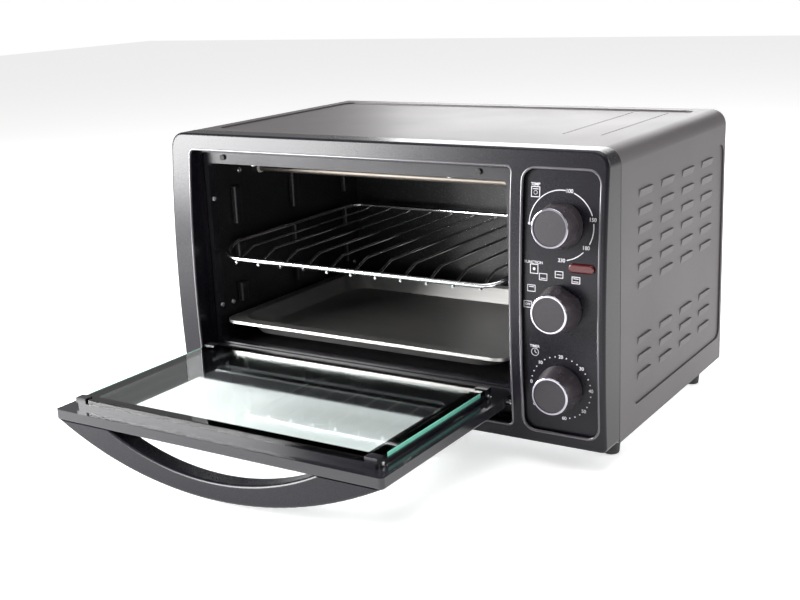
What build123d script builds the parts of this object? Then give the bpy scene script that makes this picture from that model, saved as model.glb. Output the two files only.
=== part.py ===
from build123d import *
import os

# Toaster oven, millimetres. Built with x across the front (0 at the middle), y from front to back
# (0 at the seam between bezel and cover) and z up from the cover's lower edge. Every piece is
# moved into the row frame when it is written: origin on the floor, under the middle of the box
# that the oven takes up with its door open.

# ---- driving dimensions ----
WIDTH = 480.0
BODY_HEIGHT = 264.0
COVER_DEPTH = 277.0
FOOT_HEIGHT = 20.0
SHEET = 1.2                      # steel sheet
PLASTIC = 2.5                    # moulded walls
COVER_RADIUS = 15.0

BEZEL_DEPTH = 34.0               # deepest point of the bowed front
BOW_HEIGHT = 100.0               # where the front is deepest
BOW_RADIUS = 1300.0
BEZEL_TOP_RADIUS = 14.0
BEZEL_FOOT_RADIUS = 5.0
BEZEL_EDGE_RADIUS = 3.0
SEAM = 0.9                       # dark gap between bezel and cover

DOOR_OPENING = (-215.5, 150.5, 13.0, 248.0)      # x0, x1, z0, z1
PANEL_RECESS = (160.5, 234.0, 11.5, 248.0)
PANEL_SINK = 4.0
FLANGE_Y = -10.0                 # face of the plate around the cavity's mouth
LIP_DEPTH = 10.0                 # its edge, turned into the cavity
MOUTH = (-207.2, 138.4, 41.0, 233.2)
CAVITY_BACK = 258.0
RIB_DEPTH = 7.0                  # pressed ribs that carry the rack
LEDGE_DEPTH = 9.0                # folded ledges that carry the tray's rim

HINGE_Y = -28.0
HINGE_Z = 34.0
DOOR_HALF = 178.5
DOOR_TOP = 246.0
DOOR_FOOT = 17.5
DOOR_FRONT = -32.0
PANEL_THICK = 10.0
BOX_HALF = 165.0
BOX_SEAT = -18.0                 # closed door: where the glass lies on its frame
GLASS_FACE = -14.0
GLASS_THICK = BOX_SEAT - GLASS_FACE
PIN_RADIUS = 2.5
PIN_PLAY = 0.05

KNOB_X = 197.0
KNOB_HEIGHTS = {"temperature": 199.5, "function": 127.0, "timer": 55.0}
# where each knob's facet points, degrees clockwise from straight up
POINTERS = {"temperature": 0.0, "function": 30.0, "timer": -84.0}
KNOB_BASE_RADIUS = 20.8
KNOB_TIP_RADIUS = 17.0
KNOB_LENGTH = 21.0
FACET_RADIUS = 18.6
SHAFT_RADIUS = 3.0
LAMP = (217.0, 164.0)

# heating elements: depth and height of each
ELEMENTS = {"upper_front_element": (75, 214), "upper_rear_element": (175, 214),
            "lower_front_element": (75, 44.5), "lower_rear_element": (175, 44.5)}
ELEMENT_RADIUS = 3.4
INSULATOR_RADIUS = 5.0

TRAY_WIDTH = 336.0
TRAY_FRONT = -10.0
TRAY_DEPTH = 240.0
TRAY_RIM_TOP = 66.0
TRAY_FLOOR = 50.0
RACK_Z = 145.0
RACK_DIP = 11.0                  # how far its front bar lies below the rest
RACK_HALF = 165.2
RACK_FRONT = -10.5
RACK_BACK = 239.5
RIM_WIRE = 2.5
BEARER_WIRE = 1.4
BEARER_PITCH = 28.6
GLAND_PROUD = 8.0
BUMPER_STEM = 1.8

DOOR_X = (DOOR_OPENING[0] + DOOR_OPENING[1]) / 2
CAVITY_X = (MOUTH[0] + MOUTH[1]) / 2
FRONT_REACH = HINGE_Y - (DOOR_TOP - HINGE_Z)
BACK_REACH = COVER_DEPTH + GLAND_PROUD
ORIGIN = Vector(0, (FRONT_REACH + BACK_REACH) / 2, -FOOT_HEIGHT)

os.makedirs("parts", exist_ok=True)


def write(name, shape):
    """Move a finished piece into the row frame and write it as its own node."""
    shape = Compound(children=list(shape)) if isinstance(shape, (list, ShapeList)) else shape
    export_step(Location(-ORIGIN) * shape, f"parts/{name}.step")


def block(x0, x1, y0, y1, z0, z1):
    return Pos((x0 + x1) / 2, (y0 + y1) / 2, (z0 + z1) / 2) * Box(x1 - x0, y1 - y0, z1 - z0)


def slab(x0, x1, z0, z1, radius, y0, y1):
    """A plate seen from the front, with rounded corners, between two depths."""
    face = Plane.XZ * Pos((x0 + x1) / 2, (z0 + z1) / 2) * RectangleRounded(x1 - x0, z1 - z0, radius)
    return Pos(0, y1, 0) * extrude(face, y1 - y0)


def rod_x(x0, x1, y, z, radius):
    return Pos((x0 + x1) / 2, y, z) * Rot(0, 90, 0) * Cylinder(radius, x1 - x0)


def rod_y(x, y0, y1, z, radius):
    return Pos(x, (y0 + y1) / 2, z) * Rot(90, 0, 0) * Cylinder(radius, y1 - y0)


def rod_z(x, y, z0, z1, radius):
    return Pos(x, y, (z0 + z1) / 2) * Cylinder(radius, z1 - z0)


def bow(z):
    """Depth of the bowed front at a height."""
    return -(BEZEL_DEPTH - (z - BOW_HEIGHT) ** 2 / (2 * BOW_RADIUS))


def bowed(x0, x1, z0, z1, back, inset):
    """Solid from the bowed front, sunk by inset, back to a depth."""
    middle = (z0 + z1) / 2
    low, mid, high = [(bow(z) + inset, z) for z in (z0, middle, z1)]
    outline = [Line((back, z0), low), ThreePointArc(low, mid, high), Line(high, (back, z1)),
               Line((back, z1), (back, z0))]
    profile = Plane.YZ * make_face(outline)
    return Pos(x0, 0, 0) * extrude(profile, x1 - x0)


def front_plane(z, inset):
    """Plane on the bowed front at a height, facing out of the oven."""
    lean = (z - BOW_HEIGHT) / BOW_RADIUS
    return Plane(origin=(KNOB_X, bow(z) + inset, z), x_dir=(1, 0, 0), z_dir=(0, -1, lean))


def pan_head(radius, height):
    """Screw head standing on z = 0 with a cross slot."""
    head = fillet(Cylinder(radius, height, align=(Align.CENTER, Align.CENTER, Align.MIN))
                  .edges().group_by(Axis.Z)[-1], height * 0.6)
    slot = Box(radius * 1.1, radius * 0.25, height * 0.5) + Box(radius * 0.25, radius * 1.1, height * 0.5)
    return head - Pos(0, 0, height) * slot


# ---- front bezel: one moulding, bowed, with the door opening and the sunk control panel ----
def front_bezel():
    half = WIDTH / 2
    outer = bowed(-half, half, 0, BODY_HEIGHT, 0, 0)
    inner = bowed(-half + PLASTIC, half - PLASTIC, PLASTIC, BODY_HEIGHT - PLASTIC, 0, PLASTIC)
    outline = slab(-half, half, 0, BODY_HEIGHT, BEZEL_FOOT_RADIUS, -50, 10)
    crown = slab(-half, half, -60, BODY_HEIGHT, BEZEL_TOP_RADIUS, -50, 10)
    outer = outer & outline & crown
    rolled = [e for e in outer.edges() if e.center().Y < -20 and e.length > 8]
    outer = fillet(rolled, BEZEL_EDGE_RADIUS)
    inner = inner & slab(-half + PLASTIC, half - PLASTIC, -60, BODY_HEIGHT - PLASTIC,
                         BEZEL_TOP_RADIUS - PLASTIC, -50, 10)
    x0, x1, z0, z1 = DOOR_OPENING
    px0, px1, pz0, pz1 = PANEL_RECESS
    shell = outer - inner
    surround = slab(x0 - PLASTIC, x1 + PLASTIC, z0 - PLASTIC, z1 + PLASTIC, 7, -50, FLANGE_Y - SHEET)
    step = slab(x0 + 4, x1 - 4, z0 + 2, z1 - 4, 5, -50, 0)
    opening = slab(x0, x1, z0, z1, 5, -50, FLANGE_Y - 6)
    surround = (surround & outer) - step
    tub = slab(px0 - PLASTIC, px1 + 1.5, pz0 - PLASTIC, pz1 + PLASTIC, 13, -50, 0) & outer
    tub = tub & (outer - bowed(px0 - 20, half, 0, BODY_HEIGHT, 0, PANEL_SINK + PLASTIC))
    sink = slab(px0, px1, pz0, pz1, 12, -60, 0) - bowed(px0 - 20, half, -5, BODY_HEIGHT + 5, 5, PANEL_SINK)
    shell = shell + surround + tub - opening - step - sink
    for z in KNOB_HEIGHTS.values():
        shell = shell - front_plane(z, PANEL_SINK) * Cylinder(SHAFT_RADIUS + 1.5, 60)
    lamp_hole = Rot(90, 0, 0) * extrude(SlotOverall(24.4, 8.4), 60, both=True)
    shell = shell - Pos(LAMP[0], 0, LAMP[1]) * lamp_hole
    for side in (x0, x1):
        shell = shell - rod_x(side - 8, side + 8, HINGE_Y, HINGE_Z, PIN_RADIUS + PIN_PLAY)
    return shell


# ---- outer cover: one folded steel sheet over the top and both sides ----
def outer_cover():
    half = WIDTH / 2
    skin = slab(-half, half, -60, BODY_HEIGHT, COVER_RADIUS, SEAM, COVER_DEPTH)
    inside = slab(-half + SHEET, half - SHEET, -60, BODY_HEIGHT - SHEET, COVER_RADIUS - SHEET, -1, COVER_DEPTH + 1)
    cover = skin - inside - block(-half, half, -1, COVER_DEPTH + 1, -70, 0)
    # sunk fields with rounded corners, one in the top and one in each side
    top = Pos(0, COVER_DEPTH / 2, 0) * RectangleRounded(WIDTH - 52, COVER_DEPTH - 34, 10)
    top_pan = Pos(0, COVER_DEPTH / 2, 0) * RectangleRounded(WIDTH - 52 + 2 * SHEET, COVER_DEPTH - 34 + 2 * SHEET, 11.2)
    cover = cover + Pos(0, 0, BODY_HEIGHT - 1.5 - SHEET) * extrude(top_pan, 1.5 + SHEET / 2)
    cover = cover - Pos(0, 0, BODY_HEIGHT - 1.5) * extrude(top, 5)
    for side in (-1, 1):
        at = Plane(origin=(side * half, COVER_DEPTH / 2 + 14, 127), x_dir=(0, 1, 0), z_dir=(side, 0, 0))
        field = RectangleRounded(COVER_DEPTH - 37, 206, 10)
        pan = RectangleRounded(COVER_DEPTH - 37 + 2 * SHEET, 206 + 2 * SHEET, 11.2)
        cover = cover + at * (Pos(0, 0, -1.5 - SHEET) * extrude(pan, 1.5 + SHEET / 2))
        cover = cover - at * (Pos(0, 0, -1.5) * extrude(field, 5))
        slots = [at * (Pos(u, v, -5) * extrude(SlotOverall(24, 3.4), 8)) for u, v in louvre_places()]
        cover = cover - slots
    return cover


def louvre_places():
    """Centres of the air slots in a side field: four columns, six rows above and three below."""
    rows = [90.0 - 16.75 * n for n in range(6)] + [-79.0 + 16.9 * n for n in range(3)]
    return [(u, v) for u in (-92.5, -37.8, 16.9, 71.6) for v in rows]


def base_plate():
    half = WIDTH / 2 - SHEET - 0.2
    pan = block(-half, half, 0.5, COVER_DEPTH - SHEET, 0.2, 0.2 + SHEET)
    for side in (-1, 1):
        x = sorted((side * half, side * (half - SHEET)))
        pan = pan + block(x[0], x[1], 0.5, COVER_DEPTH - SHEET, 0.2, 16)
    slots = [Pos(x, y, 0) * extrude(SlotOverall(30, 4), 5, both=True)
             for x in range(-150, 151, 60) for y in (70, 90, 180, 200)]
    return pan - slots - [rod_z(x, y, -5, 10, 2.2) for x, y in foot_places()]


def foot_places():
    return [(x, y) for x in (-222.0, 222.0) for y in (24.0, 240.0)]


def foot(x, y):
    body = Pos(x, y, 0) * Cone(7.5, 9.5, FOOT_HEIGHT, align=(Align.CENTER, Align.CENTER, Align.MAX))
    body = fillet(body.edges().group_by(Axis.Z)[0], 1.5)
    return body - rod_z(x, y, -FOOT_HEIGHT - 1, -8, 4.2) - rod_z(x, y, -10, 1, 2.2)


def back_panel():
    half = WIDTH / 2 - SHEET - 0.2
    plate = slab(-half, half, 0.4 + SHEET, BODY_HEIGHT - SHEET - 0.2, COVER_RADIUS, COVER_DEPTH - SHEET, COVER_DEPTH)
    slots = [Pos(x, COVER_DEPTH, z) * Rot(90, 0, 0) * extrude(SlotOverall(26, 4), 8, both=True)
             for x in range(-190, 191, 38) for z in (210, 196, 182, 62, 48)]
    return plate - slots - rod_y(190, COVER_DEPTH - 5, COVER_DEPTH + 5, 30, 7.1)


# ---- heated cavity: five enamelled plates behind a flanged mouth ----
def cavity_flange():
    x0, x1, z0, z1 = DOOR_OPENING
    plate = slab(x0 - 4, x1 + 4, z0 - 4, z1 + 4, 6, FLANGE_Y, FLANGE_Y + SHEET)
    lip = slab(*MOUTH, 6, FLANGE_Y, FLANGE_Y + LIP_DEPTH)
    hole = slab(MOUTH[0] + SHEET, MOUTH[1] - SHEET, MOUTH[2] + SHEET, MOUTH[3] - SHEET, 4.8, -20, 5)
    return plate + lip - hole - [rod_y(x, -20, 5, z, BUMPER_STEM + 0.05) for x, z in bumper_places()]


def bumper_places():
    return [(-185.0, 238.7), (110.0, 238.7)]


def cavity_wall(x_inner, side):
    """Side wall with pressed ribs that stand into the cavity and carry rack and tray."""
    face, away = x_inner, x_inner + side * SHEET
    wall = block(min(face, away), max(face, away), FLANGE_Y + SHEET, CAVITY_BACK, MOUTH[2] - 4, MOUTH[3] + 4)
    for y in (28.0, 128.0, 228.0):
        for low, high in ((163.0, 202.0), (121.0, RACK_Z - RIM_WIRE), (78.0, 98.0)):
            rib = block(*sorted((face, face - side * RIB_DEPTH)), y - 5.3, y + 5.3, low, high)
            wall = wall + fillet(rib.edges().filter_by(Axis.Z), 2.0)
    ledge = block(*sorted((face, face - side * LEDGE_DEPTH)), 8, 246, 59.2, 62.4)
    holes = [rod_x(face - 20, face + 20, y, z, INSULATOR_RADIUS + 0.2) for y, z in ELEMENTS.values()]
    return wall + ledge - holes


def cavity_plate(z, side):
    low, high = sorted((z, z + side * SHEET))
    return block(MOUTH[0], MOUTH[1], FLANGE_Y + SHEET, CAVITY_BACK, low, high)


def cavity_back():
    plate = block(MOUTH[0] - SHEET, MOUTH[1] + SHEET, CAVITY_BACK, CAVITY_BACK + SHEET,
                  MOUTH[2] - 4, MOUTH[3] + 4)
    field = slab(MOUTH[0] + 36, MOUTH[1] - 36, MOUTH[2] + 28, MOUTH[3] - 28, 8, CAVITY_BACK - 3, CAVITY_BACK)
    return plate + field


def heating_element(y, z):
    """Straight sheathed rod whose ends pass through insulators in both side walls."""
    return rod_x(MOUTH[0] - 14, MOUTH[1] + 14, y, z, ELEMENT_RADIUS)


def element_insulators():
    rings = []
    for y, z in ELEMENTS.values():
        for x, side in ((MOUTH[0], -1), (MOUTH[1], 1)):
            near, far = sorted((x - side * 2, x + side * 10))
            ring = rod_x(near, far, y, z, INSULATOR_RADIUS) - rod_x(near - 1, far + 1, y, z, ELEMENT_RADIUS)
            rings.append(ring)
    return rings


# ---- controls ----
def control_plate():
    plate = block(159, 234, FLANGE_Y, FLANGE_Y + SHEET, 14, 246)
    return plate - [front_plane(z, PANEL_SINK) * Cylinder(SHAFT_RADIUS + 1.5, 80) for z in KNOB_HEIGHTS.values()]


def control_body(z, width, height, depth):
    case = block(KNOB_X - width / 2, KNOB_X + width / 2, FLANGE_Y + SHEET, FLANGE_Y + SHEET + depth,
                 z - height / 2, z + height / 2)
    case = fillet(case.edges().filter_by(Axis.Y), 3)
    return case - front_plane(z, PANEL_SINK) * Cylinder(SHAFT_RADIUS + PIN_PLAY, 140)


def on_front(z, inset, solid):
    return front_plane(z, inset) * solid


def knob_shaft(z):
    back = bow(z) + PANEL_SINK - (FLANGE_Y + SHEET + 14)
    return on_front(z, PANEL_SINK, Pos(0, 0, back) * Cylinder(
        SHAFT_RADIUS, 10 - back, align=(Align.CENTER, Align.CENTER, Align.MIN)))


def knob_skirt(z, pointer):
    """Tapering hollow skirt with one flat facet that points at the scale."""
    skirt = Pos(0, 0, 1) * Cone(KNOB_BASE_RADIUS, KNOB_TIP_RADIUS, KNOB_LENGTH,
                                align=(Align.CENTER, Align.CENTER, Align.MIN))
    skirt = skirt - Pos(0, 0, KNOB_LENGTH - 2) * Cylinder(KNOB_TIP_RADIUS - 1.8, 6)
    skirt = skirt - Pos(0, FACET_RADIUS + 5, KNOB_LENGTH / 2) * Box(40, 10, KNOB_LENGTH * 2)
    well = Pos(0, 0, 1) * Cylinder(16, 8, align=(Align.CENTER, Align.CENTER, Align.MIN))
    hub = Pos(0, 0, 1) * Cylinder(6, 8, align=(Align.CENTER, Align.CENTER, Align.MIN))
    bore = Pos(0, 0, -5) * Cylinder(SHAFT_RADIUS, 15, align=(Align.CENTER, Align.CENTER, Align.MIN))
    return on_front(z, PANEL_SINK, Rot(0, 0, -pointer) * (skirt - (well - hub) - bore))


def knob_ring(z):
    outer = Pos(0, 0, KNOB_LENGTH + 1) * Cylinder(KNOB_TIP_RADIUS, 1.6, align=(Align.CENTER, Align.CENTER, Align.MIN))
    outer = fillet(outer.edges().group_by(Axis.Z)[-1], 0.7)
    hole = Pos(0, 0, KNOB_LENGTH) * Cylinder(KNOB_TIP_RADIUS - 1.8, 8, align=(Align.CENTER, Align.CENTER, Align.MIN))
    return on_front(z, PANEL_SINK, outer - hole)


def knob_cap(z):
    cap = Pos(0, 0, KNOB_LENGTH - 5) * Cylinder(KNOB_TIP_RADIUS - 1.8, 7, align=(Align.CENTER, Align.CENTER, Align.MIN))
    return on_front(z, PANEL_SINK, fillet(cap.edges().group_by(Axis.Z)[-1], 0.6))


def indicator_lens():
    y = bow(LAMP[1]) + PANEL_SINK
    lens = extrude(SlotOverall(24, 8), 8)
    lens = fillet(lens.edges().group_by(Axis.Z)[-1], 1.5)
    return Pos(LAMP[0], y + 6, LAMP[1]) * Rot(90, 0, 0) * lens


def neon_lamp():
    y = bow(LAMP[1]) + PANEL_SINK + 6.2
    return rod_y(LAMP[0], y, FLANGE_Y, LAMP[1], 3)


# ---- door: modelled shut, then turned down about its hinge ----
def lowered(solid):
    at = Location((0, HINGE_Y, HINGE_Z))
    return at * Rot(90, 0, 0) * at.inverse() * solid


def door_panel():
    x0, x1 = DOOR_X - DOOR_HALF, DOOR_X + DOOR_HALF
    panel = slab(x0, x1, DOOR_FOOT, DOOR_TOP, 4, DOOR_FRONT, DOOR_FRONT + PANEL_THICK)
    panel = fillet(panel.edges().group_by(Axis.Y)[0], 2)
    hollow = slab(x0 + 12, x1 - 12, DOOR_FOOT + 26, DOOR_TOP - 22, 3, DOOR_FRONT + 3, 0)
    window = slab(x0 + 46, x1 - 46, DOOR_FOOT + 48, DOOR_TOP - 42, 10, -60, 0)
    pins = [rod_x(x - 8, x + 8, HINGE_Y, HINGE_Z, PIN_RADIUS) for x in (x0, x1)]
    return panel - hollow - window - pins


def door_frame():
    """Box-section ring that carries the glass, with a folded tab at each corner."""
    x0, x1 = DOOR_X - BOX_HALF, DOOR_X + BOX_HALF
    z0, z1 = HINGE_Z + 10, DOOR_TOP - 14
    back = DOOR_FRONT + PANEL_THICK
    ring = slab(x0, x1, z0, z1, 3, back, BOX_SEAT) - slab(x0 + 14, x1 - 14, z0 + 14, z1 - 14, 3, -60, 0)
    for x in (x0, x1):
        for z in (z0, z1):
            dx, dz = (1 if x == x0 else -1), (1 if z == z0 else -1)
            tab = block(*sorted((x, x + dx * 12)), BOX_SEAT, GLASS_FACE + 1, *sorted((z, z + dz * 9)))
            tab = tab - block(*sorted((x + dx * 1.5, x + dx * 40)), BOX_SEAT - 1, GLASS_FACE,
                              *sorted((z + dz * 1.5, z + dz * 40)))
            ring = ring + tab
    return ring


def door_glass():
    x0, x1 = DOOR_X - BOX_HALF + 1.7, DOOR_X + BOX_HALF - 1.7
    glass = block(x0, x1, BOX_SEAT, GLASS_FACE, HINGE_Z + 11.7, DOOR_TOP - 15.7)
    return chamfer(glass.edges().group_by(Axis.Y)[-1], 0.5)


def hinge_pins():
    ends = ((DOOR_X - DOOR_HALF - 10.5, DOOR_X - DOOR_HALF + 8), (DOOR_X + DOOR_HALF - 8, DOOR_X + DOOR_HALF + 10.5))
    return [rod_x(a, b, HINGE_Y, HINGE_Z, PIN_RADIUS) for a, b in ends]


def hinge_bracket(side):
    x = DOOR_X + side * (DOOR_HALF + 7.0)
    plate = block(*sorted((x, x + side * 3)), HINGE_Y - 1, FLANGE_Y, HINGE_Z - 12, HINGE_Z + 16)
    return plate - rod_x(x - 9, x + 9, HINGE_Y, HINGE_Z, PIN_RADIUS + PIN_PLAY)


def door_handle():
    """Bowed bar flush with the door's top edge; it stands out most at the middle."""
    root = DOOR_FRONT
    outer = ThreePointArc((-176, root), (0, root - 44), (176, root))
    inner = ThreePointArc((-112, root), (0, root - 26), (112, root))
    face = make_face([outer, Line((-176, root), (-112, root)), inner, Line((112, root), (176, root))])
    bar = Pos(DOOR_X, 0, DOOR_TOP - 20) * extrude(Plane.XY * face, 20)
    rims = [e for e in bar.edges().filter_by(GeomType.CIRCLE) if e.length > 100]
    return fillet(rims, 3)


def door_screws():
    heads = []
    for x in (DOOR_X - BOX_HALF, DOOR_X + BOX_HALF):
        side = 1 if x > DOOR_X else -1
        for z in (HINGE_Z + 16, DOOR_TOP - 22):
            at = Plane(origin=(x, BOX_SEAT - 2.0, z), z_dir=(side, 0, 0))
            heads.append(at * pan_head(1.9, 1.2))
    return heads


# ---- baking tray and wire rack ----
def tray():
    def level(inset, radius, z):
        return Pos(CAVITY_X, TRAY_FRONT + TRAY_DEPTH / 2, z) * RectangleRounded(
            TRAY_WIDTH - 2 * inset, TRAY_DEPTH - 2 * inset, radius)
    rim = extrude(level(0, 16, TRAY_RIM_TOP - SHEET), SHEET)
    outer = loft([level(20, 26, TRAY_FLOOR), level(11, 22, TRAY_RIM_TOP - 0.2)])
    inner = loft([level(21.2, 25, TRAY_FLOOR + SHEET), level(12.2, 21, TRAY_RIM_TOP + 0.1)])
    lip = extrude(level(0, 16, TRAY_RIM_TOP - 3), 3) - extrude(level(1, 15, TRAY_RIM_TOP - 4), 5)
    return rim + lip + outer - inner


def wire(points, radius, bends):
    path = FilletPolyline(*points, radius=bends)
    start = Plane(origin=path @ 0, z_dir=path % 0)
    return sweep(start * Circle(radius), path=path)


def wire_rack():
    """Closed rim wire that dips towards the front, with eleven bearer wires welded under it."""
    side, kink, low = RACK_HALF, 18.0, RACK_Z - RACK_DIP
    half = wire([(CAVITY_X, RACK_FRONT, low), (CAVITY_X + side, RACK_FRONT, low), (CAVITY_X + side, kink, RACK_Z),
                 (CAVITY_X + side, RACK_BACK, RACK_Z), (CAVITY_X, RACK_BACK, RACK_Z)], RIM_WIRE, [24, 12, 15])
    rack = half + mirror(half, Plane(origin=(CAVITY_X, 0, 0), z_dir=(1, 0, 0)))
    under = RIM_WIRE + BEARER_WIRE - 0.5
    for n in range(11):
        x = CAVITY_X + (n - 5) * BEARER_PITCH
        rack = rack + wire([(x, RACK_BACK + 2, RACK_Z - under), (x, kink, RACK_Z - under),
                            (x, RACK_FRONT - 1, low - under - 0.6)], BEARER_WIRE, [20])
    return rack


# ---- fasteners ----
def cover_screws():
    heads = []
    for x in (-200, 0, 200):
        heads.append(Plane(origin=(x, COVER_DEPTH, BODY_HEIGHT - 20), z_dir=(0, 1, 0)) * pan_head(3.4, 2))
    for x in (-226, 226):
        heads.append(Plane(origin=(x, COVER_DEPTH, 60), z_dir=(0, 1, 0)) * pan_head(3.4, 2))
    return heads


def flange_screws():
    """Screws through the turned-in lip: two in each side and two in the top."""
    y = FLANGE_Y + LIP_DEPTH / 2
    heads = [Plane(origin=(x, y, z), z_dir=(out, 0, 0)) * pan_head(2.6, 1.6)
             for x, out in ((MOUTH[0] + SHEET, 1), (MOUTH[1] - SHEET, -1)) for z in (80.5, 194.0)]
    return heads + [Plane(origin=(x, y, MOUTH[3] - SHEET), z_dir=(0, 0, -1)) * pan_head(2.6, 1.6)
                    for x in (-150.0, 77.0)]


def wall_rivets():
    spots = [(14, 79), (40, 217), (244, 72), (240, 219)]
    rivets = []
    for x, side in ((MOUTH[0], 1), (MOUTH[1], -1)):
        for y, z in spots:
            rivets.append(Plane(origin=(x, y, z), z_dir=(side, 0, 0)) * pan_head(2.8, 1.4))
    return rivets


def foot_screws():
    return [Pos(x, y, -8) * Rot(180, 0, 0) * pan_head(3.4, 2) + rod_z(x, y, -8.01, 4, 2.0) for x, y in foot_places()]


def bumpers():
    return [rod_y(x, FLANGE_Y - 2.2, FLANGE_Y, z, 2.8) + rod_y(x, FLANGE_Y - 0.1, FLANGE_Y + 4, z, BUMPER_STEM)
            for x, z in bumper_places()]


def cord_gland():
    """Bush that the supply cord would enter through."""
    bush = rod_y(190, COVER_DEPTH - 6, COVER_DEPTH, 30, 7) + rod_y(190, COVER_DEPTH, BACK_REACH, 30, 9.5)
    bush = fillet(bush.edges().group_by(Axis.Y)[-1], 2)
    return bush - rod_y(190, COVER_DEPTH - 20, BACK_REACH + 1, 30, 4)


# ---- write every node ----
write("outer_cover", outer_cover())
write("base_plate", base_plate())
write("back_panel", back_panel())
write("front_bezel", front_bezel())
write("cavity_flange", cavity_flange())
write("cavity_left_wall", cavity_wall(MOUTH[0], -1))
write("cavity_right_wall", cavity_wall(MOUTH[1], 1))
write("cavity_roof", cavity_plate(MOUTH[3] + 2, 1))
write("cavity_floor", cavity_plate(MOUTH[2] - 2, -1))
write("cavity_back", cavity_back())
for name, (y, z) in ELEMENTS.items():
    write(name, heating_element(y, z))
write("element_insulators", element_insulators())
write("control_plate", control_plate())
write("thermostat", control_body(KNOB_HEIGHTS["temperature"], 42, 34, 26))
write("function_switch", control_body(KNOB_HEIGHTS["function"], 36, 40, 30))
write("timer_drive", control_body(KNOB_HEIGHTS["timer"], 50, 48, 36))
for name, z in KNOB_HEIGHTS.items():
    write(f"{name}_shaft", knob_shaft(z))
    write(f"{name}_knob", knob_skirt(z, POINTERS[name]))
    write(f"{name}_knob_ring", knob_ring(z))
    write(f"{name}_knob_cap", knob_cap(z))
write("indicator_lens", indicator_lens())
write("neon_lamp", neon_lamp())
for name, (x, y) in zip(("front_left_foot", "rear_left_foot", "front_right_foot", "rear_right_foot"), foot_places()):
    write(name, foot(x, y))
write("door_panel", lowered(door_panel()))
write("door_frame", lowered(door_frame()))
write("door_glass", lowered(door_glass()))
write("door_handle", lowered(door_handle()))
write("door_screws", [lowered(s) for s in door_screws()])
write("hinge_pins", [lowered(s) for s in hinge_pins()])
write("left_hinge_bracket", hinge_bracket(-1))
write("right_hinge_bracket", hinge_bracket(1))
write("baking_tray", tray())
write("wire_rack", wire_rack())
write("cover_screws", cover_screws())
write("flange_screws", flange_screws())
write("wall_rivets", wall_rivets())
write("foot_screws", foot_screws())
write("bumpers", bumpers())
write("cord_gland", cord_gland())
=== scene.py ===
from math import cos, pi, radians, sin

import bmesh
import bpy
from mathutils import Matrix, Vector


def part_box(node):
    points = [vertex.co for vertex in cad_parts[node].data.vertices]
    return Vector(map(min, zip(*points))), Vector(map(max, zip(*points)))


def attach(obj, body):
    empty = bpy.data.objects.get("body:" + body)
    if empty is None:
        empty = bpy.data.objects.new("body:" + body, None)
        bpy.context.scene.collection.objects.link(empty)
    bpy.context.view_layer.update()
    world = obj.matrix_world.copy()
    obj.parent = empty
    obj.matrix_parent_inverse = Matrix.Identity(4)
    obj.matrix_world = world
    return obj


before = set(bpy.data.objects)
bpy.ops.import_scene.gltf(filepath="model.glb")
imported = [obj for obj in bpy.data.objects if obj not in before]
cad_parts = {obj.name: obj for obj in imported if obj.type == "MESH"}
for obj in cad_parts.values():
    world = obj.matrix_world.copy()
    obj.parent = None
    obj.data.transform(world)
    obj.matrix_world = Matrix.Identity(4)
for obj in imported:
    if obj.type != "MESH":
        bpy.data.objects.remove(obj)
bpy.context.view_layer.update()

# ---- camera ----
# It looks from the front right and a little above, with a slight lean of the horizon.
AZIMUTH, ELEVATION, LEAN = radians(32.8), radians(15.0), radians(-2.445)
back = Vector((sin(AZIMUTH) * cos(ELEVATION), -cos(AZIMUTH) * cos(ELEVATION), sin(ELEVATION)))
level = (-back).cross(Vector((0, 0, 1))).normalized()
upright = level.cross(-back)
side = level * cos(LEAN) + upright * sin(LEAN)
up = upright * cos(LEAN) - level * sin(LEAN)
aim = Vector((0.0144, -0.0225, 0.1278))
camera = bpy.data.objects.new("camera", bpy.data.cameras.new("camera"))
camera.data.lens, camera.data.sensor_width = 55.3, 36.0
camera.matrix_world = Matrix.Translation(aim + back * 1.183) @ Matrix((side, up, back)).transposed().to_4x4()
bpy.context.scene.collection.objects.link(camera)
bpy.context.scene.camera = camera

# ---- studio ----
# A white sweep of paper under and behind the oven. It glows faintly, so that it stays white far behind,
# and four soft boxes light the oven from the left, above, the right and behind.
paper = bmesh.new()
bmesh.ops.create_grid(paper, x_segments=1, y_segments=1, size=6.0)
paper_mesh = bpy.data.meshes.new("paper")
paper.to_mesh(paper_mesh)
paper.free()
floor = bpy.data.objects.new("paper", paper_mesh)
bpy.context.scene.collection.objects.link(floor)


class Value:
    """A number that varies over a surface. Arithmetic on it adds Math nodes to its finish."""

    def __init__(self, finish, socket):
        self.finish, self.socket = finish, socket

    def math(self, operation, other):
        return self.finish.node("ShaderNodeMath", {"operation": operation}, self, other)

    def __add__(self, other): return self.math("ADD", other)
    def __radd__(self, other): return self.math("ADD", other)
    def __mul__(self, other): return self.math("MULTIPLY", other)
    def __rmul__(self, other): return self.math("MULTIPLY", other)
    def __gt__(self, other): return self.math("GREATER_THAN", other)


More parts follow.
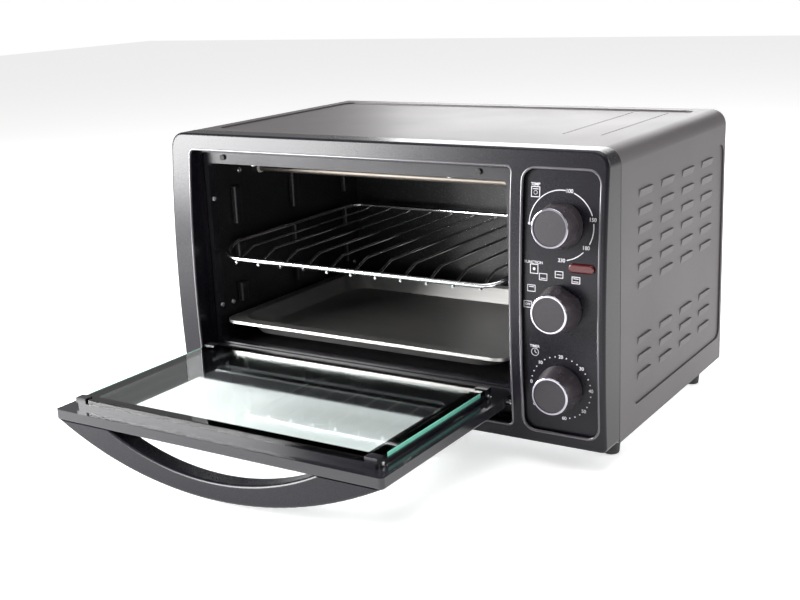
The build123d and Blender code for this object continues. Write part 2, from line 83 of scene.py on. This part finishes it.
class Finish:
    """A surface finish: one Principled shader and the nodes that vary it."""

    def __init__(self, name, **constants):
        self.material = bpy.data.materials.new(name)
        self.material.use_nodes = True
        self.tree = self.material.node_tree
        self.shader = self.tree.nodes["Principled BSDF"]
        for key, value in constants.items():
            self.shader.inputs[key.replace("_", " ")].default_value = value

    def node(self, kind, settings, *inputs, out=0, **named):
        node = self.tree.nodes.new(kind)
        for key, value in settings.items():
            setattr(node, key, value)
        for key, value in [*enumerate(inputs), *named.items()]:
            socket = node.inputs[key.replace("_", " ") if isinstance(key, str) else key]
            if isinstance(value, Value):
                self.tree.links.new(value.socket, socket)
            else:
                socket.default_value = value
        return Value(self, node.outputs[out])

    def place(self, scale=(1, 1, 1)):
        """Object coordinates, stretched."""
        at = self.node("ShaderNodeTexCoord", {}, out="Object")
        return self.node("ShaderNodeMapping", {"vector_type": "POINT"}, at, Scale=scale)

    def grain(self, scale, detail=3.0, stretch=(1, 1, 1), rough=0.5):
        return self.node("ShaderNodeTexNoise", {}, self.place(stretch),
                         Scale=scale, Detail=detail, Roughness=rough)

    def blend(self, factor, first, second):
        node = self.tree.nodes.new("ShaderNodeMix")
        node.data_type = "RGBA"
        self.tree.links.new(factor.socket, node.inputs["Factor"])
        for socket, value in ((node.inputs[6], first), (node.inputs[7], second)):
            if isinstance(value, Value):
                self.tree.links.new(value.socket, socket)
            else:
                socket.default_value = (*value, 1.0)
        return Value(self, node.outputs[2])

    def set(self, **links):
        for key, value in links.items():
            self.tree.links.new(value.socket, self.shader.inputs[key.replace("_", " ")])
        return self

    def bump(self, height, distance, strength=1.0):
        node = self.node("ShaderNodeBump", {}, Strength=strength, Distance=distance, Height=height)
        self.tree.links.new(node.socket, self.shader.inputs["Normal"])
        return self


def coat(finish, *nodes):
    """Give CAD pieces their finish."""
    for name in nodes:
        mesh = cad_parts[name].data
        mesh.materials.clear()
        mesh.materials.append(finish.material)


paper_finish = Finish("paper", Roughness=0.9, Emission_Color=(1, 1, 1, 1), Emission_Strength=0.5)
paper_finish.set(Base_Color=paper_finish.blend(paper_finish.grain(3.0), (0.93, 0.93, 0.93), (0.96, 0.96, 0.96)))
paper_mesh.materials.append(paper_finish.material)

# the room looks white, but the mouldings mirror only a dim one, so that they stay black
world = bpy.data.worlds.new("studio")
world.use_nodes = True
world_tree = world.node_tree
room = world_tree.nodes["Background"]
room.inputs["Color"].default_value, room.inputs["Strength"].default_value = (1, 1, 1, 1), 0.36
sweep = world_tree.nodes.new("ShaderNodeBackground")
sweep.inputs["Color"].default_value, sweep.inputs["Strength"].default_value = (1, 1, 1, 1), 1.0
seen = world_tree.nodes.new("ShaderNodeLightPath")
both = world_tree.nodes.new("ShaderNodeMixShader")
world_tree.links.new(seen.outputs["Is Camera Ray"], both.inputs[0])
world_tree.links.new(room.outputs[0], both.inputs[1])
world_tree.links.new(sweep.outputs[0], both.inputs[2])
world_tree.links.new(both.outputs[0], world_tree.nodes["World Output"].inputs["Surface"])
bpy.context.scene.world = world
bpy.context.scene.view_settings.view_transform = "Standard"


def soft_box(name, place, target, width, height, power):
    light = bpy.data.lights.new(name, "AREA")
    light.shape, light.size, light.size_y, light.energy = "RECTANGLE", width, height, power
    holder = bpy.data.objects.new(name, light)
    holder.location = place
    holder.rotation_euler = (Vector(target) - Vector(place)).to_track_quat("-Z", "Y").to_euler()
    holder.visible_camera = False
    bpy.context.scene.collection.objects.link(holder)


soft_box("left_box", (-1.0, -0.95, 0.45), (-0.22, -0.29, 0.26), 0.75, 0.6, 52)
soft_box("top_box", (0.1, -0.1, 1.9), (0, 0, 0.1), 1.8, 1.8, 34)
soft_box("right_box", (1.6, 0.9, 0.8), (0.24, 0.1, 0.1), 1.0, 1.0, 12)
soft_box("back_box", (-0.5, 1.9, 0.75), (0.1, 0.1, 0.25), 1.3, 0.9, 16)

# ---- outer cover and back ----
# Folded steel sheet, powder coated in a warm dark grey with a fine peel. The back is screwed into it.
cover = Finish("cover_coat", Roughness=0.42, Specular_IOR_Level=0.5)
patches = cover.grain(9.0)
peel = cover.grain(900.0, detail=2.0)
cover.set(Base_Color=cover.blend(patches, (0.052, 0.045, 0.047), (0.062, 0.054, 0.056)),
          Roughness=0.36 + patches * 0.12 + peel * 0.05)
cover.bump(peel, 0.0002, 0.35)
coat(cover, "outer_cover", "back_panel")

# ---- inner steelwork ----
# The base, the plate behind the controls and the hinge brackets: galvanised sheet with a faint spangle.
zinc_sheet = Finish("galvanised", Metallic=1.0)
spangle = zinc_sheet.node("ShaderNodeTexVoronoi", {}, zinc_sheet.place(), Scale=90.0)
zinc_sheet.set(Base_Color=zinc_sheet.blend(spangle, (0.50, 0.51, 0.52), (0.62, 0.63, 0.64)),
               Roughness=0.35 + spangle * 0.25)
coat(zinc_sheet, "base_plate", "control_plate", "left_hinge_bracket", "right_hinge_bracket")

# ---- bezel and handle ----
# Black mouldings with a satin gloss and a very fine grain. The bezel is clipped to the cover's front and
# the handle is screwed to the door from behind.
black = Finish("bezel_black", Roughness=0.3, Specular_IOR_Level=0.26)
flow = black.grain(6.0)
grit = black.grain(1400.0, detail=2.0)
black.set(Base_Color=black.blend(flow, (0.0045, 0.0038, 0.0065), (0.0065, 0.0055, 0.0090)),
          Roughness=0.22 + flow * 0.06 + grit * 0.05)
black.bump(grit, 0.0001, 0.25)
coat(black, "front_bezel", "door_handle")

# ---- cavity ----
# Pressed plates in black enamel, glossy with pin-point specks, folded together at their edges.
enamel = Finish("cavity_enamel", Roughness=0.3)
specks = enamel.grain(700.0, detail=1.0)
haze = enamel.grain(14.0)
enamel.set(Base_Color=enamel.blend(specks > 0.64, (0.006, 0.006, 0.007), (0.05, 0.05, 0.052)),
           Roughness=0.24 + haze * 0.2)
enamel.bump(specks, 0.0002, 0.2)
coat(enamel, "cavity_left_wall", "cavity_right_wall", "cavity_roof", "cavity_floor", "cavity_back")

# ---- mouth flange ----
# A plate around the cavity's mouth in the same enamel, smoother where the door closes on it. Six screws
# hold its turned-in edge.
smooth = Finish("flange_enamel", Roughness=0.22, Specular_IOR_Level=0.45)
wave = smooth.grain(10.0)
smooth.set(Base_Color=smooth.blend(wave, (0.007, 0.0065, 0.009), (0.012, 0.011, 0.014)),
           Roughness=0.16 + wave * 0.12)
coat(smooth, "cavity_flange")

# ---- door shell ----
# An outer panel with a window and a box-section frame behind it, both steel in gloss black.
gloss = Finish("door_black", Roughness=0.14, Specular_IOR_Level=0.5)
smear = gloss.grain(18.0)
gloss.set(Base_Color=gloss.blend(smear, (0.010, 0.010, 0.013), (0.016, 0.015, 0.019)), Roughness=0.1 + smear * 0.1)
coat(gloss, "door_panel", "door_frame")

# ---- door glass ----
# A clear toughened sheet held by four folded tabs. Its cut edges show the green of its whole width, which
# a thin strip along each side gives.
low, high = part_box("door_glass")
glass = Finish("door_glass", Roughness=0.02, IOR=1.5, Transmission_Weight=1.0)
smudge = glass.grain(30.0)
glass.set(Base_Color=glass.blend(smudge, (0.80, 0.88, 0.86), (0.86, 0.92, 0.90)), Roughness=0.01 + smudge * 0.05)
coat(glass, "door_glass")

EDGE_PROUD, EDGE_BEVEL, TAB_REACH = 0.0003, 0.0001, 0.016


def piece(name, mesh, finish, body):
    """Turn a finished bmesh into an object that rides on a body."""
    data = bpy.data.meshes.new(name)
    mesh.to_mesh(data)
    mesh.free()
    data.materials.append(finish.material)
    made = bpy.data.objects.new(name, data)
    bpy.context.scene.collection.objects.link(made)
    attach(made, body)
    return made


def bar(mesh, first, second, bevel):
    """Add a bar with rounded edges between two corners."""
    size = [b - a for a, b in zip(first, second)]
    at = Matrix.Translation([(a + b) / 2 for a, b in zip(first, second)]) @ Matrix.Diagonal((*size, 1))
    made = bmesh.ops.create_cube(mesh, size=1.0, matrix=at)
    edges = list({e for v in made["verts"] for e in v.link_edges})
    bmesh.ops.bevel(mesh, geom=edges, offset=bevel, segments=2, affect="EDGES", profile=0.5, material=-1)


edge_green = Finish("glass_edge", Roughness=0.12, Specular_IOR_Level=0.5)
frost = edge_green.grain(140.0)
edge_green.set(Base_Color=edge_green.blend(frost, (0.13, 0.52, 0.40), (0.26, 0.68, 0.54)),
               Roughness=0.1 + frost * 0.2)
for name, x in (("left_glass_edge", low[0]), ("right_glass_edge", high[0])):
    strip = bmesh.new()
    bar(strip, (x - EDGE_PROUD, low[1] + TAB_REACH, low[2] + 0.0002),
        (x + EDGE_PROUD, high[1] - TAB_REACH, high[2] - 0.0001), EDGE_BEVEL)
    piece(name, strip, edge_green, "door")

# ---- heating elements and control works ----
# Four rods in a heat-dulled steel sheath, held by unglazed ceramic beads, and the thermostat, switch and
# timer in pale moulded cases behind the panel.
sheath = Finish("element_sheath", Metallic=1.0)
scorch = sheath.grain(60.0, stretch=(1, 3, 3))
sheath.set(Base_Color=sheath.blend(scorch, (0.16, 0.15, 0.14), (0.30, 0.26, 0.22)), Roughness=0.35 + scorch * 0.3)
coat(sheath, "upper_front_element", "upper_rear_element", "lower_front_element", "lower_rear_element")
ceramic = Finish("ceramic")
chalk = ceramic.grain(250.0)
ceramic.set(Base_Color=ceramic.blend(chalk, (0.72, 0.70, 0.65), (0.80, 0.78, 0.74)), Roughness=0.55 + chalk * 0.2)
coat(ceramic, "element_insulators")
case = Finish("control_case")
mottle = case.grain(120.0)
case.set(Base_Color=case.blend(mottle, (0.56, 0.53, 0.43), (0.64, 0.61, 0.50)), Roughness=0.5 + mottle * 0.15)
coat(case, "thermostat", "function_switch", "timer_drive")

# ---- screws, rivets, pins and shafts ----
# Bright zinc-plated steel, apart from the cover's screws, which are blackened.
zinc = Finish("zinc_steel", Metallic=1.0)
plate = zinc.grain(400.0)
zinc.set(Base_Color=zinc.blend(plate, (0.62, 0.62, 0.64), (0.74, 0.74, 0.75)), Roughness=0.2 + plate * 0.15)
coat(zinc, "temperature_shaft", "function_shaft", "timer_shaft", "hinge_pins", "door_screws", "flange_screws",
     "wall_rivets", "foot_screws")
dark_steel = Finish("black_screw", Metallic=0.6)
oil = dark_steel.grain(300.0)
dark_steel.set(Base_Color=dark_steel.blend(oil, (0.03, 0.03, 0.03), (0.05, 0.05, 0.05)),
               Roughness=0.35 + oil * 0.2)
coat(dark_steel, "cover_screws")

# ---- knobs ----
# Three mouldings pushed onto their shafts: a metallic grey skirt with a flat, a near-black cap and a chromed
# ring between them.
CONTROLS = ("temperature", "function", "timer")
knob = Finish("knob_grey", Metallic=0.55, Specular_IOR_Level=0.6)
flake = knob.grain(1500.0, detail=1.0)
tone = knob.grain(25.0)
knob.set(Base_Color=knob.blend(flake, (0.055, 0.047, 0.055), (0.12, 0.105, 0.118)), Roughness=0.22 + tone * 0.10)
knob.bump(flake, 0.0001, 0.15)
coat(knob, *[f"{name}_knob" for name in CONTROLS])
cap = Finish("knob_cap", Metallic=0.3)
sand = cap.grain(1100.0, detail=1.0)
cap.set(Base_Color=cap.blend(sand, (0.014, 0.012, 0.015), (0.034, 0.030, 0.035)), Roughness=0.30 + sand * 0.15)
cap.bump(sand, 0.0001, 0.12)
coat(cap, *[f"{name}_knob_cap" for name in CONTROLS])
chrome = Finish("knob_chrome", Metallic=1.0)
film = chrome.grain(80.0)
chrome.set(Base_Color=chrome.blend(film, (0.42, 0.40, 0.46), (0.52, 0.50, 0.56)), Roughness=0.05 + film * 0.05)
coat(chrome, *[f"{name}_knob_ring" for name in CONTROLS])

# ---- indicator lamp ----
# A dark red moulded lens pressed into the panel, over a small bulb.
red = Finish("lens_red", Transmission_Weight=0.3, IOR=1.49)
swirl = red.grain(200.0)
red.set(Base_Color=red.blend(swirl, (0.055, 0.002, 0.003), (0.10, 0.003, 0.005)), Roughness=0.12 + swirl * 0.12)
coat(red, "indicator_lens")
bulb = Finish("lamp_glass", Transmission_Weight=0.8, IOR=1.5)
bulb.set(Base_Color=bulb.blend(bulb.grain(300.0), (0.9, 0.6, 0.45), (0.9, 0.7, 0.5)))
coat(bulb, "neon_lamp")

# ---- feet, cord bush and bumpers ----
# Matt black mouldings under the base and in the back, and two rubber plugs that the shut door rests on.
matt = Finish("foot_black")
dust = matt.grain(160.0)
matt.set(Base_Color=matt.blend(dust, (0.012, 0.012, 0.013), (0.03, 0.03, 0.03)), Roughness=0.5 + dust * 0.25)
matt.bump(dust, 0.0002, 0.2)
coat(matt, "front_left_foot", "rear_left_foot", "front_right_foot", "rear_right_foot", "cord_gland")
rubber = Finish("rubber")
bloom = rubber.grain(220.0)
rubber.set(Base_Color=rubber.blend(bloom, (0.014, 0.014, 0.014), (0.03, 0.03, 0.03)), Roughness=0.7 + bloom * 0.2)
coat(rubber, "bumpers")

# ---- baking tray ----
# Pressed sheet with a folded rim and a brushed surface, whose lines run across the oven.
brushed = Finish("tray_steel", Metallic=1.0)
lines = brushed.grain(1.0, detail=4.0, stretch=(18, 1300, 1300), rough=0.7)
cloud = brushed.grain(7.0)
brushed.set(Base_Color=brushed.blend(lines, (0.52, 0.51, 0.50), (0.70, 0.69, 0.67)),
            Roughness=0.26 + lines * 0.18 + cloud * 0.08)
brushed.bump(lines, 0.00008, 0.4)
coat(brushed, "baking_tray")

# ---- wire rack ----
# A rim of chromed steel wire with eleven thinner wires welded under it.
rack = Finish("rack_chrome", Metallic=1.0)
ripple = rack.grain(120.0)
rack.set(Base_Color=rack.blend(ripple, (0.78, 0.78, 0.80), (0.86, 0.86, 0.87)), Roughness=0.1 + ripple * 0.1)
coat(rack, "wire_rack")

# ---- rolled edges of the bezel ----
# The moulding turns in with a fine rounded bead round the door opening and round the control panel. Its colour is
# a little lighter than the face: a painted highlight along the bead.
bead_painted_highlight = Finish("bezel_edge_painted_highlight", Roughness=0.3, Coat_Weight=1.0, Coat_Roughness=0.12)
painted_highlight_mottle = bead_painted_highlight.grain(40.0)
# lighter base colour of the bead, a painted highlight that varies a little at random
bead_painted_highlight.set(Base_Color=bead_painted_highlight.blend(painted_highlight_mottle, (0.024, 0.021, 0.027), (0.055, 0.049, 0.060)),
           Roughness=0.25 + painted_highlight_mottle * 0.2)
BOW_RADIUS, BOW_CENTRE = 1.3, 0.120
front_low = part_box("front_bezel")[0]


def front_depth(z):
    """Depth of the bowed front at a height: deepest at its centre height."""
    return front_low[1] + (z - BOW_CENTRE) ** 2 / (2 * BOW_RADIUS)


def rounded(x0, x1, z0, z1, radius, step=0.006):
    """Points round a rectangle with rounded corners."""
    points = []
    corners = ((x1 - radius, z1 - radius, 0), (x0 + radius, z1 - radius, 90),
               (x0 + radius, z0 + radius, 180), (x1 - radius, z0 + radius, 270))
    for cx, cz, start in corners:
        for n in range(7):
            turn = radians(start + 15 * n)
            points.append((cx + radius * cos(turn), cz + radius * sin(turn)))
    filled = []
    for (ax, az), (bx, bz) in zip(points, points[1:] + points[:1]):
        parts = max(1, round(((bx - ax) ** 2 + (bz - az) ** 2) ** 0.5 / step))
        filled += [(ax + (bx - ax) * n / parts, az + (bz - az) * n / parts) for n in range(parts)]
    return filled


def bead(name, outline, radius, sunk):
    """A closed bead that follows an outline on the bowed front."""
    curve = bpy.data.curves.new(name, "CURVE")
    curve.dimensions, curve.bevel_depth, curve.bevel_resolution = "3D", radius, 3
    spline = curve.splines.new("POLY")
    spline.points.add(len(outline) - 1)
    for point, (x, z) in zip(spline.points, outline):
        point.co = (x, front_depth(z) + sunk, z, 1)
    spline.use_cyclic_u = True
    holder = bpy.data.objects.new(name, curve)
    mesh = bmesh.new()
    mesh.from_mesh(bpy.data.meshes.new_from_object(holder))
    bpy.data.objects.remove(holder)
    for face in mesh.faces:
        face.smooth = True
    piece(name, mesh, bead_painted_highlight, "oven")


bead("opening_bead", rounded(-0.2155, 0.1505, 0.033, 0.268, 0.005), 0.0014, 0.0010)
bead("panel_bead", rounded(0.1605, 0.2340, 0.0315, 0.268, 0.012), 0.0014, 0.0010)

# ---- scales and signs ----
# Pale ink printed on the sunk control panel, which follows the bow of the front: numbers and an arc for the
# heat, five signs for the function, and minutes with dots for the timer.
ink = Finish("panel_ink", Roughness=0.5)
thin = ink.grain(500.0)
ink.set(Base_Color=ink.blend(thin, (0.46, 0.45, 0.48), (0.60, 0.59, 0.62)), Roughness=0.42 + thin * 0.15)
PANEL_SINK, INK, FINE, BOLD = 0.004, 0.00018, 0.0006, 0.0008
KNOB_AT = {name: [sum(pair) / 2 for pair in zip(*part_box(f"{name}_shaft"))] for name in CONTROLS}
KNOB_X = KNOB_AT["timer"][0]
HEIGHT = {"temperature": 0.2195, "function": 0.147, "timer": 0.075}
printed = bmesh.new()


def on_panel(mesh):
    """Lay a flat mesh, drawn in x and z, on the bowed panel."""
    for vertex in mesh.verts:
        vertex.co.y += front_depth(vertex.co.z) + PANEL_SINK - INK
    data = bpy.data.meshes.new("ink")
    mesh.to_mesh(data)
    mesh.free()
    printed.from_mesh(data)


def words(text, x, z, size):
    """Lettering centred on a place."""
    curve = bpy.data.curves.new(text, "FONT")
    curve.body, curve.size, curve.align_x, curve.align_y, curve.extrude = text, size, "CENTER", "CENTER", INK / 2
    curve.offset = size * 0.012
    holder = bpy.data.objects.new(text, curve)
    flat = bmesh.new()
    flat.from_mesh(bpy.data.meshes.new_from_object(holder))
    bpy.data.objects.remove(holder)
    upright_at = Matrix.Translation((x, 0, z)) @ Matrix.Rotation(pi / 2, 4, "X")
    bmesh.ops.transform(flat, matrix=upright_at, verts=flat.verts)
    on_panel(flat)


def stroke(points, width):
    """A printed line through points in x and z."""
    flat = bmesh.new()
    for (ax, az), (bx, bz) in zip(points, points[1:]):
        long = ((bx - ax) ** 2 + (bz - az) ** 2) ** 0.5
        turn = Vector((bx - ax, 0, bz - az)).normalized()
        across = Vector((0, 1, 0)).cross(turn)
        turned = Matrix((turn, (0, 1, 0), -across)).transposed().to_4x4()
        middle_at = Matrix.Translation(((ax + bx) / 2, 0, (az + bz) / 2))
        bmesh.ops.create_cube(flat, size=1.0,
                              matrix=middle_at @ turned @ Matrix.Diagonal((long + width * 0.6, INK, width, 1)))
    on_panel(flat)


def arc(x, z, radius, first, last, width):
    """A printed arc; angles in degrees clockwise from straight up."""
    count = max(3, round(abs(last - first) / 6))
    turns = [radians(first + (last - first) * n / count) for n in range(count + 1)]
    stroke([(x + radius * sin(a), z + radius * cos(a)) for a in turns], width)


def dot(x, z, radius):
    """A printed dot."""
    flat = bmesh.new()
    at = Matrix.Translation((x, 0, z)) @ Matrix.Rotation(pi / 2, 4, "X")
    bmesh.ops.create_cone(flat, cap_ends=True, segments=12, radius1=radius, radius2=radius, depth=INK, matrix=at)
    on_panel(flat)


def frame_sign(x, z, width, height):
    """A printed rectangle round a sign."""
    half, tall = width / 2, height / 2
    corners = [(x - half, z - tall), (x + half, z - tall), (x + half, z + tall), (x - half, z + tall)]
    stroke(corners + corners[:1], FINE)


# heat: an arc that is broken by four numbers, with a dot at its start
heat, radius = HEIGHT["temperature"], 0.030
for first, last in ((-90, 6), (22, 70), (84, 118), (136, 168)):
    arc(KNOB_X, heat, radius, first, last, BOLD)
dot(KNOB_X - radius, heat, 0.0013)
for text, turn, reach in (("100", 13, 0.0302), ("150", 77, 0.0295), ("180", 127, 0.0292), ("230", 178, 0.0300)):
    words(text, KNOB_X + reach * sin(radians(turn)), heat + reach * cos(radians(turn)), 0.0046)
words("TEMP", 0.1721, 0.2532, 0.0036)
frame_sign(0.1723, 0.2468, 0.0078, 0.0086)
arc(0.1723, 0.2462, 0.0016, 0, 360, FINE)
stroke([(0.1697, 0.2492), (0.1749, 0.2492)], FINE)

# function: five signs round the knob, from off to both elements
middle = HEIGHT["function"]
words("FUNCTION", 0.1719, 0.1858, 0.0034)
frame_sign(0.1723, 0.1801, 0.0072, 0.0080)
dot(0.1723, 0.1801, 0.0013)
words("OFF", 0.1662, 0.1480, 0.0030)
signs = ((-88, 0.0308, ()), (-60, 0.0315, (1,)), (-31, 0.0312, (-1,)), (-2, 0.0300, (0,)), (29, 0.0303, (-1, 1)))
for turn, reach, bars in signs:
    x, z = KNOB_X + reach * sin(radians(turn)), middle + reach * cos(radians(turn))
    frame_sign(x, z, 0.0072, 0.0056)
    for at in bars:
        stroke([(x - 0.0022, z + at * 0.0013), (x + 0.0022, z + at * 0.0013)], FINE)

# timer: minutes from 0 to 60 with three dots between numbers, and a mark for staying on
clock, radius = HEIGHT["timer"], 0.0285
ZERO_AT, TEN_MINUTES = -86, 43.5
for step in range(7):
    turn = ZERO_AT + TEN_MINUTES * step
    words(str(10 * step), KNOB_X + radius * sin(radians(turn)), clock + radius * cos(radians(turn)), 0.0044)
    for n in range(1, 4):
        at = radians(turn + TEN_MINUTES * n / 4)
        if step < 6:
            dot(KNOB_X + radius * sin(at), clock + radius * cos(at), 0.0006)
words("TIMER", 0.1726, 0.1104, 0.0034)
arc(0.1727, 0.1052, 0.0034, 0, 360, FINE)
stroke([(0.1727, 0.1052), (0.1727, 0.1072)], 0.0005)
stroke([(0.1727, 0.1052), (0.1741, 0.1044)], 0.0005)
words("ON", 0.1722, 0.0559, 0.0034)
piece("panel_print", printed, ink, "oven")

# ---- louvres ----
# Long hoods pressed out of the cover's side fields, over its air slots. Each is open above and stands out
# most at its rear end.
cover_low, cover_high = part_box("outer_cover")
FIELD_SINK, FIELD_Y, FIELD_Z = 0.0015, 0.130, 0.147
HOOD_LENGTH, HOOD_HEIGHT, HOOD_PROUD = 0.0320, 0.0072, 0.0022
rows = [0.090 - 0.01675 * n for n in range(6)] + [-0.079 + 0.0169 * n for n in range(3)]
for name, hand in (("right_louvres", 1), ("left_louvres", -1)):
    hoods = bmesh.new()
    for across in (-0.0925, -0.0378, 0.0169, 0.0716):
        for rise in rows:
            hood = bmesh.new()
            size = Matrix.Diagonal((HOOD_PROUD, HOOD_LENGTH, HOOD_HEIGHT, 1))
            made = bmesh.ops.create_cube(hood, size=1.0, matrix=size)
            for vertex in made["verts"]:
                front, top, out = vertex.co.y < 0, vertex.co.z > 0, vertex.co.x > 0
                vertex.co.x = (HOOD_PROUD * (0.6 if front else 1.0) if top else 0.0) if out else -0.0004
                vertex.co.y += (0.0020 if front else -0.0010) if out and top else 0.0
            outer = [e for e in hood.edges if max(v.co.x for v in e.verts) > 0]
            bmesh.ops.bevel(hood, geom=outer, offset=0.0005, segments=2, affect="EDGES", profile=0.5, material=-1)
            if hand < 0:
                bmesh.ops.scale(hood, vec=(-1, 1, 1), verts=hood.verts)
                bmesh.ops.reverse_faces(hood, faces=hood.faces)
            place = (hand * (cover_high[0] - FIELD_SINK), FIELD_Y + across, FIELD_Z + rise)
            bmesh.ops.translate(hood, vec=place, verts=hood.verts)
            data = bpy.data.meshes.new("hood")
            hood.to_mesh(data)
            hood.free()
            hoods.from_mesh(data)
    piece(name, hoods, cover, "oven")

# ---- top vents ----
# Two rows of fine slots along the right of the top, drawn as thin bars laid on it, whose near-black colour is
# painted shade for the slots' insides.
slot_painted_shade = Finish("vent_painted_shade", Specular_IOR_Level=0.2)
shade_mottle = slot_painted_shade.grain(300.0)
# near-black colour of the bars, painted shade that varies a little at random
slot_painted_shade.set(Base_Color=slot_painted_shade.blend(shade_mottle, (0.004, 0.004, 0.004), (0.012, 0.012, 0.012)),
              Roughness=0.7 + shade_mottle * 0.2)
vents = bmesh.new()
top = cover_high[2] - FIELD_SINK
VENT_START, VENT_PITCH, VENT_LENGTH, VENT_HALF = 0.075, 0.0078, 0.0056, 0.0007
for x in (0.152, 0.190):
    for n in range(22):
        y = cover_low[1] + VENT_START + VENT_PITCH * n
        bar(vents, (x - VENT_HALF, y, top - 0.0002), (x + VENT_HALF, y + VENT_LENGTH, top + 0.0001), 0.0001)
piece("top_vents", vents, slot_painted_shade, "oven")
